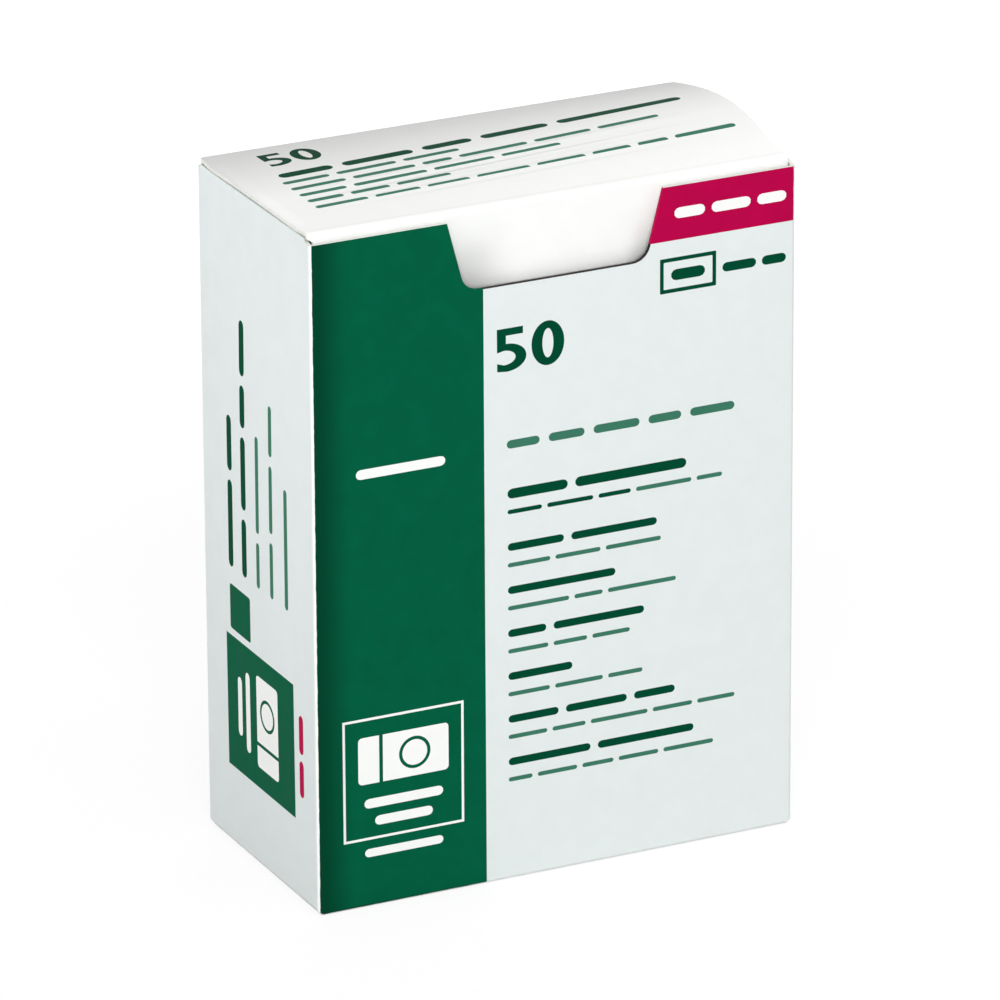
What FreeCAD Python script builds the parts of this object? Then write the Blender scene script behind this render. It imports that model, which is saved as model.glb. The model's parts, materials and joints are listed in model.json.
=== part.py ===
import FreeCAD, Part
import os
import re

import Sketcher
from FreeCAD import Vector

# A tuck-top folding carton of microscope slides.  Millimetres; +X right, +Y back, +Z up.
# The origin is the middle of the base, the printed front panel faces -Y, and the lid hinges on the back
# panel's top crease.  The carton is sized to what it holds, so its outside sizes follow from the slides,
# the board and the named clearances.

# Driving sizes: each is written once, here, and goes into the sheet.
SIZES = {
    # the slides: cut soda-lime glass, standing on end side by side
    "slide_count": 50,
    "slide_length": 76.0,
    "slide_width": 26.0,
    "slide_thickness": 1.1,
    "slide_gap": 0.04,
    # the clear film wrapped round the stack
    "film": 0.04,
    "side_gap": 0.68,
    "back_gap": 0.10,
    "head_room": 2.2,
    # the board and its folds
    "board": 0.40,
    "fold_radius": 0.50,
    "crease_gap": 0.03,
    # the front panel's top edge and the thumb notch in it
    "front_drop": 1.17,
    "corner_slope": 1.60,
    "notch_top_half": 13.25,
    "notch_bottom_half": 11.10,
    "notch_depth": 8.20,
    "notch_corner": 2.20,
    # the lid panel, which has sprung up towards its right end
    "lid_gap": 0.30,
    "lid_inset": 0.25,
    "lid_rise_left": 0.25,
    "lid_rise_right": 2.50,
    # the tuck flap, rolled to the arc that it travels on
    "nose_radius": 0.70,
    "tuck_cover": 1.23,
    "tuck_play": 0.25,
    "tuck_back_gap": 0.15,
    "tuck_side_gap": 0.60,
    "tuck_corner": 6.0,
    # the dust flaps under the lid
    "dust_length": 20.0,
    "dust_taper": 3.0,
    "dust_gap": 0.35,
    # the glued floor flaps and the glued side seam
    "floor_flap_length": 20.0,
    "floor_flap_gap": 0.30,
    "floor_inner_short": 5.0,
    "seam_width": 10.0,
    "seam_short": 3.0,
}

# Sizes that follow from them, in the order that they are worked out.
FITS = {
    "stack_width": "slide_count * slide_thickness + (slide_count - 1) * slide_gap",
    # the right wall is two boards thick where the side seam is glued
    "box_width": "stack_width + 2 * film + 2 * side_gap + 3 * board",
    # the tuck flap reaches past the notch, so that it closes it
    "tuck_length": "front_drop + notch_depth + tuck_cover",
    # distances forward of the lid's hinge line
    "film_reach": "board + back_gap + slide_width + 2 * film",
    "tuck_inner": "sqrt((film_reach + tuck_back_gap)^2 + tuck_length^2)",
    "tuck_outer": "tuck_inner + board",
    "box_depth": "tuck_outer + tuck_play + board",
    # heights
    "floor_top": "3 * board",
    "wall_top": "floor_top + 2 * film + slide_length + head_room + board",
    "box_height": "wall_top + lid_gap + board",
    "front_top": "box_height - front_drop",
    "tuck_bottom": "box_height - tuck_length",
    # the lid
    "lid_width": "box_width - 2 * lid_inset",
    "lip_width": "box_width - 2 * fold_radius",
    "tuck_width": "box_width - 2 * board - 2 * tuck_side_gap",
    "fold_sink": "fold_radius * (1 - sqrt(0.5))",
    "hinge_y": "box_depth / 2",
    "tuck_face": "hinge_y - tuck_outer",
    "front_crease": "tuck_face + nose_radius",
    "back_crease": "hinge_y - fold_radius",
    "lid_chord": "back_crease - front_crease",
    "left_arch": "(lid_chord^2 / 4 + lid_rise_left^2) / (2 * lid_rise_left)",
    "right_arch": "(lid_chord^2 / 4 + lid_rise_right^2) / (2 * lid_rise_right)",
    "nose_outer_y": "hinge_y - sqrt(tuck_outer^2 - nose_radius^2)",
    "nose_inner_y": "hinge_y - sqrt(tuck_inner^2 - nose_radius^2)",
    "tip_outer_y": "hinge_y - sqrt(tuck_outer^2 - tuck_length^2)",
    "tip_inner_y": "hinge_y - sqrt(tuck_inner^2 - tuck_length^2)",
    # where the stack of slides stands
    "stack_left": "board + side_gap + film - box_width / 2",
    "stack_front": "hinge_y - film_reach + film",
    "stack_base": "floor_top + film",
    "slide_pitch": "slide_thickness + slide_gap",
    # the dust flaps clear the tuck flap's path and the back panel
    "dust_front": "hinge_y - tuck_inner + dust_gap",
    "dust_back": "hinge_y - board - dust_gap",
    "dust_root": "box_width / 2 - board / 2",
    "dust_end": "box_width / 2 - dust_length",
}

doc = FreeCAD.newDocument("slide_carton")


def full(text):
    """An expression with each size's name written in full: Sizes.board, Fits.box_width."""
    def owned(word):
        name = word.group()
        owner = "Sizes." if name in SIZES else "Fits." if name in FITS else ""
        return owner + name
    return re.sub(r"[a-z]+(_[a-z]+)*", owned, text)


def value(text):
    """What an expression comes to at the present sizes."""
    return float(sheet.evalExpression(full(text)))


def make_sheet():
    """The spreadsheet of driving sizes: name in A, value in B."""
    made = doc.addObject("Spreadsheet::Sheet", "Sizes")
    for row, (name, size) in enumerate(SIZES.items(), start=1):
        made.set(f"A{row}", name)
        made.set(f"B{row}", str(size))
        made.setAlias(f"B{row}", name)
    doc.recompute()
    return made


def make_fits():
    """The variable set of sizes that follow from the sheet."""
    made = doc.addObject("App::VarSet", "Fits")
    for name, rule in FITS.items():
        made.addProperty("App::PropertyFloat", name, "Fits", rule)
        made.setExpression(name, full(rule))
    doc.recompute()
    return made


def make_body(label):
    """An empty PartDesign body; its label is the node's name."""
    body = doc.addObject("PartDesign::Body", label)
    body.Label = label
    return body


def arc_between(start, end, radius, bulge):
    """The arc from start to end that bulges to the left (+1) or right (-1) of the way there.

    It is always made anticlockwise, because a sketch numbers an arc's ends that way.
    """
    chord = end - start
    across = Vector(-chord.y, chord.x, 0).normalize() * bulge
    rise = radius - (radius ** 2 - chord.Length ** 2 / 4) ** 0.5
    middle = (start + end) * 0.5 + across * rise
    return Part.Arc(end, middle, start) if bulge > 0 else Part.Arc(start, middle, end)


def draw(body, name, role, path, shift=None):
    """A closed sketch on one of the body's origin planes, moved along its normal by shift.

    Each item of path is a corner (u, v), held by two dimensions from the origin; a corner
    (u, v, radius, bulge) starts an arc of that radius to the next one.
    """
    sketch = body.newObject("Sketcher::SketchObject", name)
    plane = next(item for item in body.Origin.OriginFeatures if item.Role == role)
    sketch.AttachmentSupport = [(plane, "")]
    sketch.MapMode = "FlatFace"
    if shift:
        sketch.setExpression("AttachmentOffset.Base.z", full(shift))
    corners = [Vector(value(item[0]), value(item[1]), 0) for item in path]
    ends = []
    for place, item in enumerate(path):
        start, end = corners[place], corners[(place + 1) % len(path)]
        if len(item) == 2:
            sketch.addGeometry(Part.LineSegment(start, end), False)
            ends.append((1, 2))
        else:
            sketch.addGeometry(arc_between(start, end, value(item[2]), item[3]), False)
            ends.append((2, 1) if item[3] > 0 else (1, 2))
    for place, item in enumerate(path):
        after = (place + 1) % len(path)
        sketch.addConstraint(Sketcher.Constraint("Coincident", place, ends[place][1], after, ends[after][0]))
        for kind, text, size in (("DistanceX", item[0], corners[place].x),
                                 ("DistanceY", item[1], corners[place].y)):
            hold(sketch, Sketcher.Constraint(kind, -1, 1, place, ends[place][0], size), text)
        if len(item) == 4:
            hold(sketch, Sketcher.Constraint("Radius", place, value(item[2])), item[2])
    return sketch


def hold(sketch, constraint, text):
    """Add a dimension to a sketch and bind it to an expression."""
    index = sketch.addConstraint(constraint)
    sketch.setExpression(f"Constraints[{index}]", full(text))


def pad(body, name, sketch, length):
    """Pad a sketch along its normal."""
    feature = body.newObject("PartDesign::Pad", name)
    feature.Profile = sketch
    feature.setExpression("Length", full(length))
    doc.recompute()
    return feature


def pocket(body, name, sketch, length):
    """Cut a sketch's outline back from its plane, against its normal, and test that it cut."""
    before = body.Shape.Volume
    feature = body.newObject("PartDesign::Pocket", name)
    feature.Profile = sketch
    feature.setExpression("Length", full(length))
    doc.recompute()
    assert body.Shape.Volume < before, f"{name} cut nothing"
    return feature


def fillet(body, name, rule, radius):
    """Round the body's straight edges that the rule picks by middle point and direction."""
    picked = []
    for number, edge in enumerate(body.Shape.Edges, start=1):
        ends = [corner.Point for corner in edge.Vertexes]
        if len(ends) == 2 and near(edge.Length, ends[0].distanceToPoint(ends[1])):
            if rule((ends[0] + ends[1]) / 2, (ends[1] - ends[0]) / edge.Length):
                picked.append(f"Edge{number}")
    assert picked, f"{name} found no edge"
    base = body.Tip
    feature = body.newObject("PartDesign::Fillet", name)
    feature.Base = (base, picked)
    feature.setExpression("Radius", full(radius))
    doc.recompute()
    return feature


def near(one, other):
    """Whether two sizes are the same length."""
    return abs(one - other) < 0.001


def rectangle(left, right, front, back):
    """The four corners of an upright rectangle, for draw()."""
    return [(left, front), (right, front), (right, back), (left, back)]


def carton():
    """The carton without its lid: walls, floor, side seam and dust flaps, folded from one board."""
    body = make_body("carton")
    half_x, half_y = "box_width / 2", "box_depth / 2"
    pad(body, "block", draw(body, "outline", "XY_Plane", rectangle(
        f"-{half_x}", half_x, f"-{half_y}", half_y)), "wall_top")
    hollow = draw(body, "inside", "XY_Plane", rectangle(
        f"board - {half_x}", f"{half_x} - board", f"board - {half_y}", f"{half_y} - board"), "wall_top")
    pocket(body, "hollow", hollow, "wall_top - board")
    floor_flaps(body)
    side_seam(body)
    for side in ("-", ""):
        dust_flap(body, side)
    hinge_lip(body)
    front_edge(body)
    folds(body)
    return body


def floor_flaps(body):
    """The inner floor flap and the two end flaps that are glued on the outer one."""
    inner = rectangle("board / 2 - box_width / 2", "box_width / 2 - board / 2",
                      "board + floor_inner_short - box_depth / 2", "box_depth / 2 - board / 2")
    pad(body, "floor_inner", draw(body, "floor_inner_outline", "XY_Plane", inner, "board"), "board")
    for side, word in (("-", "left"), ("", "right")):
        ends = rectangle(f"{side}(box_width / 2 - board / 2)", f"{side}(box_width / 2 - floor_flap_length)",
                         "board + floor_flap_gap - box_depth / 2", "box_depth / 2 - board - floor_flap_gap")
        flap = draw(body, f"floor_{word}_outline", "XY_Plane", ends, "2 * board")
        pad(body, f"floor_{word}", flap, "board")


def side_seam(body):
    """The glue flap: the back panel's edge, turned in and glued inside the right wall."""
    strip = rectangle("box_width / 2 - 2 * board", "box_width / 2 - board / 2",
                      "box_depth / 2 - board - seam_width", "box_depth / 2 - board / 2")
    pad(body, "seam", draw(body, "seam_outline", "XY_Plane", strip, "floor_top"),
        "wall_top - floor_top - board - seam_short")


def dust_flap(body, side):
    """One dust flap, folded in from a side wall's top edge, with its corners cut back."""
    word = "left" if side else "right"
    path = [(f"{side}dust_root", "dust_front"),
            (f"{side}dust_end", "dust_front + dust_taper"),
            (f"{side}dust_end", "dust_back - dust_taper"),
            (f"{side}dust_root", "dust_back")]
    pad(body, f"dust_{word}", draw(body, f"dust_{word}_outline", "XY_Plane", path, "wall_top - board"), "board")


def hinge_lip(body):
    """The back panel's top, rising to the lid's crease and mitred so that the lid turns clear of it."""
    top = "box_height - crease_gap"
    path = [("hinge_y - board", "wall_top - board"),
            ("hinge_y", "wall_top - board"),
            ("hinge_y", f"{top} - fold_radius", "fold_radius", -1),
            ("hinge_y - fold_sink", f"{top} - fold_sink"),
            ("hinge_y - board", f"{top} - board")]
    pad(body, "lip", draw(body, "lip_section", "YZ_Plane", path, "-lip_width / 2"), "lip_width")


def front_edge(body):
    """The front panel's cut top edge, its thumb notch, and the slope of the side walls down to it."""
    over = "box_width / 2 + 1"
    path = [(f"-({over})", "front_top"),
            ("-notch_top_half", "front_top"),
            ("-notch_bottom_half", "front_top - notch_depth"),
            ("notch_bottom_half", "front_top - notch_depth"),
            ("notch_top_half", "front_top"),
            (over, "front_top"),
            (over, "wall_top + 1"),
            (f"-({over})", "wall_top + 1")]
    pocket(body, "notch", draw(body, "notch_outline", "XZ_Plane", path, "box_depth / 2"), "board")
    fillet(body, "notch_corners", lambda middle, way: near(abs(way.y), 1)
           and near(middle.z, value("front_top - notch_depth")), "notch_corner")
    slope = [("-box_depth / 2 - 1", "front_top"),
             ("-box_depth / 2", "front_top"),
             ("corner_slope - box_depth / 2", "wall_top"),
             ("corner_slope - box_depth / 2", "wall_top + 1"),
             ("-box_depth / 2 - 1", "wall_top + 1")]
    pocket(body, "corner_slopes", draw(body, "slope_section", "YZ_Plane", slope, over), f"2 * ({over})")


def folds(body):
    """Round the creases: four upright, four round the floor, and one along each dust flap."""
    wide, deep = value("box_width / 2"), value("box_depth / 2")
    fillet(body, "upright_folds", lambda middle, way: near(abs(way.z), 1)
           and near(abs(middle.x), wide) and near(abs(middle.y), deep), "fold_radius")
    fillet(body, "floor_folds", lambda middle, way: near(middle.z, 0), "fold_radius")
    fillet(body, "dust_folds", lambda middle, way: near(abs(way.y), 1)
           and near(abs(middle.x), wide) and near(middle.z, value("wall_top")), "fold_radius / 2")


def lid():
    """The lid panel, lofted from its flat left end to its arched right end, and its tuck flap."""
    body = make_body("lid")
    left = lid_section(body, "left_end", "left_arch", "-lid_width / 2")
    right = lid_section(body, "right_end", "right_arch", "lid_width / 2")
    panel = body.newObject("PartDesign::AdditiveLoft", "panel")
    panel.Profile = left
    panel.Sections = [right]
    panel.Ruled = True
    doc.recompute()
    tuck_flap(body)
    return body


def lid_section(body, name, arch, shift):
    """The lid panel's section: mitred at the back crease, arched, and square at the front crease."""
    path = [("hinge_y - board", "box_height - board"),
            ("hinge_y - fold_sink", "box_height - fold_sink", "fold_radius", -1),
            ("back_crease", "box_height", arch, -1),
            ("front_crease", "box_height"),
            ("front_crease", "box_height - board", arch, 1),
            ("back_crease", "box_height - board")]
    return draw(body, name, "YZ_Plane", path, shift)


def tuck_flap(body):
    """The rounded front fold and the tuck flap, on arcs about the hinge line so that it slides out freely."""
    path = [("front_crease", "box_height - board"),
            ("front_crease", "box_height", "nose_radius", -1),
            ("nose_outer_y", "box_height - nose_radius", "tuck_outer", -1),
            ("tip_outer_y", "tuck_bottom"),
            ("tip_inner_y", "tuck_bottom", "tuck_inner", 1),
            ("nose_inner_y", "box_height - nose_radius", "nose_radius - board", 1)]
    pad(body, "tuck", draw(body, "tuck_section", "YZ_Plane", path, "-tuck_width / 2"), "tuck_width")
    for side, word, turn in (("-", "left", 1), ("", "right", -1)):
        path = [(f"{side}(tuck_width / 2 - tuck_corner)", "tuck_bottom", "tuck_corner", turn),
                (f"{side}tuck_width / 2", "tuck_bottom + tuck_corner"),
                (f"{side}box_width / 2", "tuck_bottom + tuck_corner"),
                (f"{side}box_width / 2", "tuck_bottom - 1"),
                (f"{side}(tuck_width / 2 - tuck_corner)", "tuck_bottom - 1")]
        corner = draw(body, f"corner_{word}_outline", "XZ_Plane", path, "box_depth / 2")
        pocket(body, f"corner_{word}", corner, "box_depth")


def film_wrap():
    """The clear film round the whole stack: a closed skin, one film thick."""
    outer = doc.addObject("Part::Box", "film_outside")
    inner = doc.addObject("Part::Box", "film_inside")
    for box, skin in ((outer, "film"), (inner, "0")):
        box.setExpression("Length", full(f"stack_width + 2 * {skin}"))
        box.setExpression("Width", full(f"slide_width + 2 * {skin}"))
        box.setExpression("Height", full(f"slide_length + 2 * {skin}"))
        box.setExpression("Placement.Base.x", full(f"stack_left - {skin}"))
        box.setExpression("Placement.Base.y", full(f"stack_front - {skin}"))
        box.setExpression("Placement.Base.z", full(f"stack_base - {skin}"))
    wrap = doc.addObject("Part::Cut", "film_wrap")
    wrap.Label = "film_wrap"
    wrap.Base = outer
    wrap.Tool = inner
    return wrap


def slide(number):
    """One slide, standing on end, face to face with its neighbours."""
    glass = doc.addObject("Part::Box", f"slide_{number:02d}")
    glass.Label = f"slide_{number:02d}"
    glass.setExpression("Length", full("slide_thickness"))
    glass.setExpression("Width", full("slide_width"))
    glass.setExpression("Height", full("slide_length"))
    glass.setExpression("Placement.Base.x", full(f"stack_left + {number - 1} * slide_pitch"))
    glass.setExpression("Placement.Base.y", full("stack_front"))
    glass.setExpression("Placement.Base.z", full("stack_base"))
    return glass


sheet = make_sheet()
fits = make_fits()
pieces = [carton(), lid(), film_wrap()]
pieces += [slide(number) for number in range(1, int(SIZES["slide_count"]) + 1)]
doc.recompute()

for item in doc.Objects:
    faults = {"Invalid", "Error"} & set(item.State)
    assert not faults, f"{item.Label}: {faults}"
for piece in pieces:
    assert not piece.Shape.isNull() and piece.Shape.isValid(), f"{piece.Label} is not a valid solid"
    assert len(piece.Shape.Solids) == 1, f"{piece.Label} is not one solid"

os.makedirs("parts", exist_ok=True)
for piece in pieces:
    piece.Shape.exportStep(f"parts/{piece.Label}.step")
print(f"outside {fits.box_width:.2f} x {fits.box_depth:.2f} x {fits.box_height:.2f}, {len(pieces)} pieces")
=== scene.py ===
import json
import math
import random

import bpy
import numpy as np
from mathutils import Matrix, Vector, noise
from mathutils.geometry import delaunay_2d_cdt


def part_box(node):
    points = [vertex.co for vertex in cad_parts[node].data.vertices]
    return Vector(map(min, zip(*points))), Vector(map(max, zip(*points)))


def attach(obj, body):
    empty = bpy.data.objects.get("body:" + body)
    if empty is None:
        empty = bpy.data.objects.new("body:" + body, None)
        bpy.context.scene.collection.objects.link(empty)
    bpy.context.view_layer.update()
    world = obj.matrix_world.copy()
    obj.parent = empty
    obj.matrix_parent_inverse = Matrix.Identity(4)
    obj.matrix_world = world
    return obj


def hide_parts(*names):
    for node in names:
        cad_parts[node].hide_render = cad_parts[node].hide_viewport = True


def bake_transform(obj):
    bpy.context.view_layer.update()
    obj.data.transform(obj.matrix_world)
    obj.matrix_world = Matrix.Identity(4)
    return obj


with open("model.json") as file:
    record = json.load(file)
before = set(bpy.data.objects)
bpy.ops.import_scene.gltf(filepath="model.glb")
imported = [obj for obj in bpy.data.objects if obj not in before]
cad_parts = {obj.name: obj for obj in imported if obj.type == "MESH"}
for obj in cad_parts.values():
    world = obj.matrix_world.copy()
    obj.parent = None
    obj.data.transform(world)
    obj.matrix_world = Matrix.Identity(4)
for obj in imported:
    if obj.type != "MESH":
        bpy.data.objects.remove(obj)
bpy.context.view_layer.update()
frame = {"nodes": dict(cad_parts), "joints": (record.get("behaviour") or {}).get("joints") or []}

# A tuck-top folding carton of microscope slides. Lengths here are millimetres until a mesh is made.
# +X is right, +Y is back, +Z is up; the printed front faces -Y and the lid hinges along the back.

MM = 0.001

# ------------------------ sizes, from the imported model
HINGE = next(joint for joint in frame["joints"] if joint["name"] == "lid_hinge")
BACK_FACE, BOX_TOP = (place / MM for place in HINGE["pos_m"][1:])
CARTON_LOW, CARTON_HIGH = (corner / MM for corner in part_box("carton"))
LID_LOW, LID_HIGH = (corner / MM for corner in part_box("lid"))
FILM_LOW, FILM_HIGH = (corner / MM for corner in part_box("film_wrap"))
HALF_WIDTH = CARTON_HIGH.x
FRONT_FACE = CARTON_LOW.y

# sizes of the board and its folds that a box doesn't show
BOARD = 0.40
FOLD = 0.50  # outer radius of a pressed crease
WALL_TOP = BOX_TOP - 0.70  # top face of the dust flaps
FRONT_TOP = BOX_TOP - 1.17  # cut edge of the front panel
NOTCH_TOP = 13.25  # half the thumb notch's width at its open top
NOTCH_BOTTOM = 11.10  # and at its bottom
NOTCH_DEPTH = 8.20
NOTCH_CORNER = 2.20
DUST_FOLD = 0.25
DUST_LENGTH = 20.0
DUST_TAPER = 3.0  # each long edge of a dust flap runs in by this much
DUST_FRONT_GAP, DUST_BACK_GAP = 1.40, 0.75
SEAM_WIDTH = 10.4  # the glue flap inside the right wall
SEAM_TOP, SEAM_SLANT = 3.4, 2.2  # it stops this far under the dust flaps, with slanted ends
SEAM_GAP = 0.35  # between the right wall's cut edge and the back wall's outer face
NOSE = 0.70  # outer radius of the lid's front fold
TUCK_RADIUS = 29.155  # the tuck flap's curve about the hinge line
NOTCH_RADIUS = 30.40  # inside the thumb notch the flap swells out to this curve
DENT_START = 10.2  # further left of the middle than this the flap stays dented,
DENT_WIDTH = 7.0  # and the dent eases out over this much
TUCK_INSET = 0.45  # the tuck flap is this much narrower each side
TUCK_CORNER = 6.0
LID_SHIFT = 0.2  # the lid sits this much to the left and nearly covers the wall's fold there
LID_LEFT_RISE = 0.15
LID_RIGHT_RISE = LID_HIGH.z - BOX_TOP
LID_LEAN = 0.32  # how far the lid's swell sits towards the front on the right
LID_CURL = 0.22  # the lid's left edge bends down onto the wall's fold by this much
CURL_WIDTH = 1.6
LID_TAPER = 1.2  # the lid's right edge runs in by this much at its front crease
CREASE_LINE = 0.36  # width of the faint painted shade line along the lid's front crease
QUARTER = math.pi / 2
# small steps of the cutting die
RELIEF = 0.15  # beside a fold, where a flap is that much narrower than its wall
ROOT_STEP = 0.2  # from the wall's edge to the flap's root
SHOULDER_STEP, FRONT_SHOULDER = 0.1, 0.30  # where the cut leaves the wall's edge, under or over it
STRAIGHT = 1.0  # a flap's ends run straight for this much before they taper
NICK, HAIR = 0.05, 0.02  # the least steps, at a dust flap's root and at the back wall's top
SLEEVE_PITCH, LID_PITCH = 3.2, 3.0  # how far apart the points of a blank are at most


# ------------------------ materials
NUMBER = "ShaderNodeMath"
VECTOR = "ShaderNodeVectorMath"
RANGE = "ShaderNodeMapRange"
MIX = "ShaderNodeMix"
NOISE = "ShaderNodeTexNoise"
SPLIT = "ShaderNodeSeparateXYZ"
JOINED = "ShaderNodeCombineXYZ"
MOVED = "GeometryNodeSetPosition"
EASED = {"interpolation_type": "SMOOTHSTEP"}
INKS = {"data_type": "RGBA"}
PLUS = {"operation": "ADD"}
MINUS = {"operation": "SUBTRACT"}
TIMES = {"operation": "MULTIPLY"}
TIMES_PLUS = {"operation": "MULTIPLY_ADD"}
MOTTLE = 3.0  # a patch of the ink's mottling
RAGGED = 1.2  # a chip of ink at a cracked fold
BARE_BOARD = "#F4F5F2"  # the board's colour where its ink has cracked off


def colour(code):
    """An sRGB hex colour as linear RGBA."""
    parts = [int(code[place:place + 2], 16) / 255 for place in (1, 3, 5)]
    return [part / 12.92 if part <= 0.04045 else ((part + 0.055) / 1.055) ** 2.4 for part in parts] + [1.0]


def add(tree, kind, settings=None, links=None):
    """A node with its settings and links, where a key is a socket's name or number.

    A link comes from an output, from a node, which stands for its first output, or from a list of them.
    """
    node = tree.nodes.new(kind)
    for key, value in (settings or {}).items():
        if isinstance(key, int) or key in node.inputs:
            node.inputs[key].default_value = value
        else:
            setattr(node, key, value)
    for key, sources in (links or {}).items():
        for source in sources if isinstance(sources, list) else [sources]:
            output = source.outputs[0] if isinstance(source, bpy.types.Node) else source
            tree.links.new(output, node.inputs[key])
    return node


def new_material(name):
    """An empty node material and its tree."""
    made = bpy.data.materials.new(name)
    made.use_nodes = True
    made.node_tree.nodes.clear()
    return made, made.node_tree


def per_metre(size_mm):
    """The noise scale that gives features of this size."""
    return 1 / (size_mm * MM)


def board_material(name, code, spread=0.03, rough=0.5, gloss=0.25, fibre=0.35, relief=0.006, wear=1.0,
                   deep=0.5):
    """Coated folding boxboard with one flat ink on it.

    The ink mottles a little over a few millimetres, the fibres under the coating show as a faint
    tooth, and where the attribute fold_wear nears 1 the ink has cracked off to the white board.
    Painted shade darkens the colour down to the share deep of its strength where the shade attribute is 1.
    """
    made, tree = new_material(name)
    place = add(tree, "ShaderNodeTexCoord").outputs["Object"]
    mottle = add(tree, NOISE, {"Scale": per_metre(MOTTLE), "Detail": 4.0, "Roughness": 0.6},
                 {"Vector": place})
    tooth = add(tree, NOISE, {"Scale": per_metre(fibre), "Detail": 2.0, "Roughness": 0.5}, {"Vector": place})
    ink = colour(code)[:3]
    dark = [part * (1 - spread) for part in ink] + [1.0]
    light = [min(1.0, part * (1 + spread)) for part in ink] + [1.0]
    painted_shade_colour = [part * deep for part in ink] + [1.0]
    patches = add(tree, RANGE, {**EASED, "From Min": 0.3, "From Max": 0.7}, {"Value": mottle})
    shown = add(tree, MIX, {**INKS, 6: dark, 7: light}, {0: patches}).outputs[2]
    if wear:
        # painted shade: the colour darkens towards its share deep where the shade attribute rises
        tone = add(tree, "ShaderNodeAttribute", {"attribute_name": "painted_shade"}).outputs["Fac"]
        shown = add(tree, MIX, {**INKS, 7: painted_shade_colour}, {0: tone, 6: shown}).outputs[2]
        worn = add(tree, "ShaderNodeAttribute", {"attribute_name": "fold_wear"}).outputs["Fac"]
        chips = add(tree, NOISE, {"Scale": per_metre(RAGGED), "Detail": 3.0}, {"Vector": place})
        edge = add(tree, NUMBER, {**TIMES_PLUS, 1: 0.35}, {0: chips, 2: worn})
        cracked = add(tree, RANGE, {**EASED, "From Min": 0.74, "From Max": 0.92, "To Max": wear},
                      {"Value": edge})
        shown = add(tree, MIX, {**INKS, 7: colour(BARE_BOARD)}, {0: cracked, 6: shown}).outputs[2]
    bump = add(tree, "ShaderNodeBump", {"Strength": 0.35, "Distance": relief * MM}, {"Height": tooth})
    sheen = {"From Min": 0.3, "From Max": 0.7, "To Min": rough - 0.06, "To Max": rough + 0.06}
    satin = add(tree, RANGE, {**EASED, **sheen}, {"Value": mottle})
    skin = add(tree, "ShaderNodeBsdfPrincipled", {"Specular IOR Level": gloss},
               {"Base Color": shown, "Roughness": satin, "Normal": bump})
    add(tree, "ShaderNodeOutputMaterial", None, {0: skin})
    return made


CARD = [
    # Offset-printed coated boxboard: even flat inks with a soft satin sheen and a barely seen tooth.
    board_material("pale_tint_ink_on_boxboard", "#E3EAE9", spread=0.012),
    board_material("green_ink_on_boxboard", "#005B3E", spread=0.05, gloss=0.03),
    board_material("deep_green_ink_on_boxboard", "#00472F", spread=0.05, gloss=0.02),
    board_material("light_green_ink_on_boxboard", "#3B7761", spread=0.04, gloss=0.04),
    board_material("crimson_ink_on_boxboard", "#B60047", spread=0.04, gloss=0.05),
    # A painted shadow: dark colour for the line where the gap behind the thumb notch's edge lies in shade.
    board_material("painted_notch_shadow_on_boxboard", "#2A2428", spread=0.05, gloss=0.12),
    # The coated face with no ink on it: clean white, the same sheen.
    board_material("bare_coated_boxboard", "#F8F9F7", spread=0.008, deep=0.64),
    # The uncoated inner face: softer, warmer white, with short fibres.
    board_material("uncoated_boxboard_back", "#E9E8E3", 0.012, 0.8, 0.2, relief=0.02, wear=0.0),
    # The die-cut edge: raw fibres, dull and a little darker than either face.
    board_material("die_cut_board_edge", "#E6E6E1", 0.06, 0.9, 0.1, fibre=0.2, relief=0.03, wear=0.0)]
PALE, GREEN, DEEP_GREEN, SOFT_GREEN, CRIMSON, NOTCH_SHADOW, WHITE, INNER, EDGE = range(len(CARD))


def clear_material(name, code, index, rough, patch, drawn, edge=None):
    """A clear skin, whose smears are this many millimetres across and stretched upwards by drawn.

    A sheet that stands across X has cut edges of a colour of their own, a little frosted, because
    they scatter the light that has run down the sheet.
    """
    made, tree = new_material(name)
    place = add(tree, "ShaderNodeTexCoord")
    smears = add(tree, "ShaderNodeMapping", {"Scale": (1, 1, 1 / drawn)}, {"Vector": place.outputs["Object"]})
    smears = add(tree, NOISE, {"Scale": per_metre(patch), "Detail": 5.0, "Roughness": 0.65},
                 {"Vector": smears})
    haze = {"From Min": 0.35, "From Max": 0.7, "To Min": rough * 0.4, "To Max": rough * 2.2}
    look = {"Roughness": add(tree, RANGE, {**EASED, **haze}, {"Value": smears})}
    if edge:
        facing = add(tree, SPLIT, None, {0: place.outputs["Normal"]})
        facing = add(tree, NUMBER, {"operation": "ABSOLUTE"}, {0: facing})
        cut = add(tree, RANGE, {**EASED, "From Min": 0.4, "From Max": 0.6, "To Min": 1.0, "To Max": 0.0},
                  {"Value": facing})
        tint = add(tree, MIX, {**INKS, 6: colour(code), 7: colour(edge)}, {0: cut})
        frost = add(tree, NUMBER, {**TIMES_PLUS, 1: 0.22}, {0: cut, 2: look["Roughness"]})
        through = add(tree, RANGE, {**EASED, "To Min": 1.0, "To Max": 0.62}, {"Value": cut})
        look = {"Base Color": tint.outputs[2], "Roughness": frost, "Transmission Weight": through}
    clear = {"Base Color": colour(code), "IOR": index, "Transmission Weight": 1.0}
    add(tree, "ShaderNodeOutputMaterial", None, {0: add(tree, "ShaderNodeBsdfPrincipled", clear, look)})
    return made


# Soda-lime glass with cut edges: clear through a face, with faint finger smears, and green at the edges.
SLIDE_GLASS = clear_material("soda_lime_slide_glass", "#F4FBF7", 1.52, 0.02, 7.0, 2.5, edge="#A5D9BE")
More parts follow.
